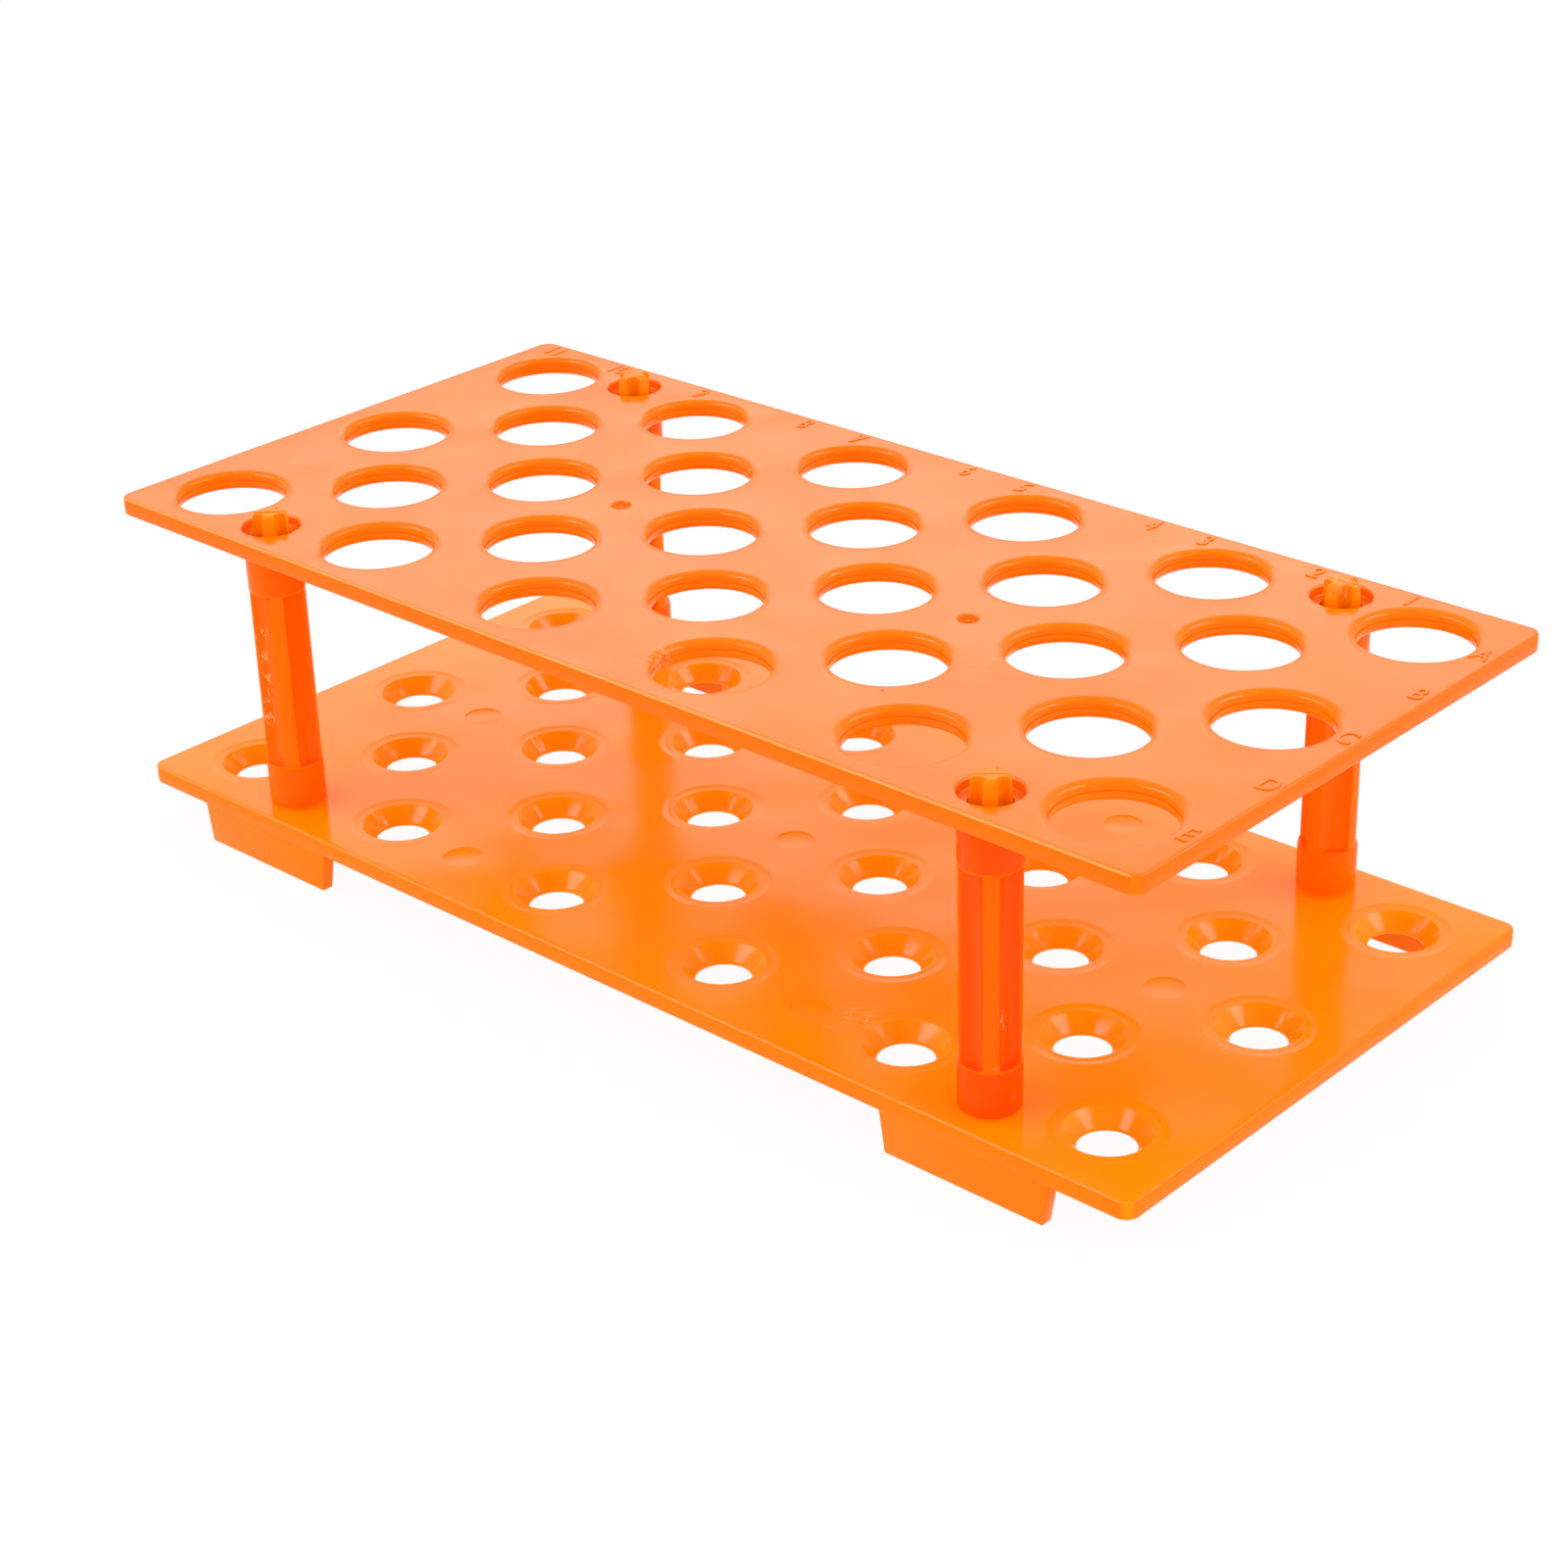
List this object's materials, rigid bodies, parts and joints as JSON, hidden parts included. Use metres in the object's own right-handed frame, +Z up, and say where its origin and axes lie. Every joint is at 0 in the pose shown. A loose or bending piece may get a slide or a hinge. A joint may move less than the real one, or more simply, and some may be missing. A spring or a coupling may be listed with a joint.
{
  "type": "centrifuge tube rack",
  "caption": "Two-tier tube rack: a perforated upper plate held over a plate of funnel seats by four fluted corner posts, for standing conical tubes.",
  "frame": {"origin": "on the surface that the rack stands on, under the middle of the plates", "axes": "+X along the long side, to the viewer's right; +Y from the front edge to the back edge; +Z up"},
  "size_m": [0.2, 0.0946, 0.0591],
  "materials": {
    "upper_plate": "glossy orange polypropylene with a faint moulding ripple",
    "lower_plate": "glossy orange polypropylene",
    "post": "glossy deep orange polypropylene, polished in the flutes"
  },
  "bodies": {
    "root": {"upper_plate": "upper_plate", "lower_plate": "lower_plate", "post_front_left": "post", "post_front_right": "post", "post_back_left": "post", "post_back_right": "post"}
  },
  "joints": []
}
